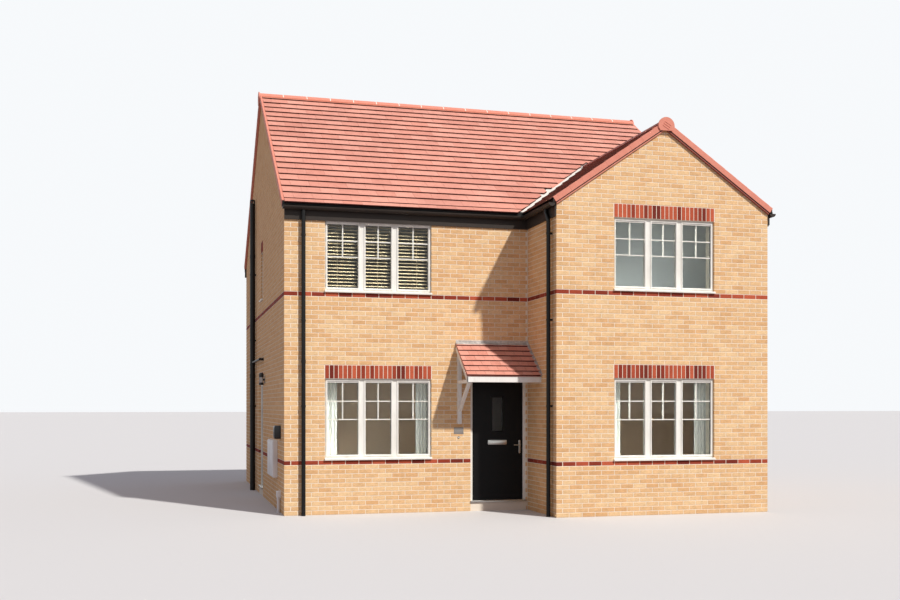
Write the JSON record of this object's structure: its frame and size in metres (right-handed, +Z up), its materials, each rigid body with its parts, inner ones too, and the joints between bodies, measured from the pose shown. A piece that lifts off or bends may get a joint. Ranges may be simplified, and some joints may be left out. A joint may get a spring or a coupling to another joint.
{
  "type": "detached house",
  "caption": "Two-storey detached brick house with a projecting front gable, pitched tiled roofs, a lean-to porch canopy and hinged front and side doors.",
  "frame": {"origin": "centre of the main block's plan, on the underside of the ground floor slab", "axes": "+X to the right along the front, +Y from the front to the rear, +Z up"},
  "size_m": [8.272, 10.059, 8.1121],
  "materials": {
    "brickwork": "buff facing brick in cream mortar",
    "concrete": "screeded concrete",
    "floor_boards": "boarded floor",
    "plaster": "painted plasterboard",
    "roof_tile": "matte coral red interlocking tile",
    "ridge_tile": "matte coral red",
    "lead": "dull lead sheet",
    "black_plastic": "satin black",
    "white_frame": "satin white",
    "glass": "clear sealed units",
    "black_door": "satin black moulded skin",
    "steel": "brushed",
    "white_timber": "painted white",
    "white_box": "moulded white",
    "black_metal": "satin black",
    "grey_plaque": "bare slate grey",
    "blind_slat": "cream slats",
    "curtain": "pale blue grey voile"
  },
  "bodies": {
    "house": {"ground_floor_slab": "concrete", "first_floor_deck": "floor_boards", "upper_ceiling": "plaster", "front_wall": "brickwork", "over_door_wall": "brickwork", "entrance_pier": "brickwork", "return_wall": "brickwork", "gable_wall": "brickwork", "right_side_wall": "brickwork", "left_wall_front": "brickwork", "left_wall_over_door": "brickwork", "left_wall_rear": "brickwork", "rear_wall": "brickwork", "main_roof_front": "roof_tile", "main_roof_rear": "roof_tile", "gable_roof": "roof_tile", "ridge_tiles": "ridge_tile", "verge_caps": "ridge_tile", "valley_lead": "lead", "fascia_boards": "black_plastic", "gutters": "black_plastic", "downpipes": "black_plastic", "front_windows": "white_frame", "rear_windows": "white_frame", "side_window": "white_frame", "window_glass": "glass", "window_sills": "white_frame", "front_door_frame": "white_frame", "side_door_frame": "white_frame", "canopy_roof": "roof_tile", "canopy_frame": "white_timber", "canopy_flashing": "lead", "soil_pipe": "black_plastic", "meter_boxes": "white_box", "car_charger": "black_plastic", "service_duct": "white_box", "wall_lantern": "black_metal", "plaque_and_bell": "grey_plaque", "window_blind": "blind_slat", "curtains": "curtain"},
    "front_door": {"front_door": "black_door", "front_door_glass": "glass", "front_door_hardware": "steel"},
    "side_door": {"side_door": "white_frame", "side_door_handle": "steel"}
  },
  "joints": [
    {"name": "front_door_hinge", "type": "hinge", "parent": "house", "child": "front_door", "pos_m": [-0.798, -4.098, 1.2], "axis": [0, 0, 1], "range_deg": [0, 90]},
    {"name": "side_door_hinge", "type": "hinge", "parent": "house", "child": "side_door", "pos_m": [-3.8805, 0.5555, 1.2], "axis": [0, 0, 1], "range_deg": [0, 90]}
  ]
}
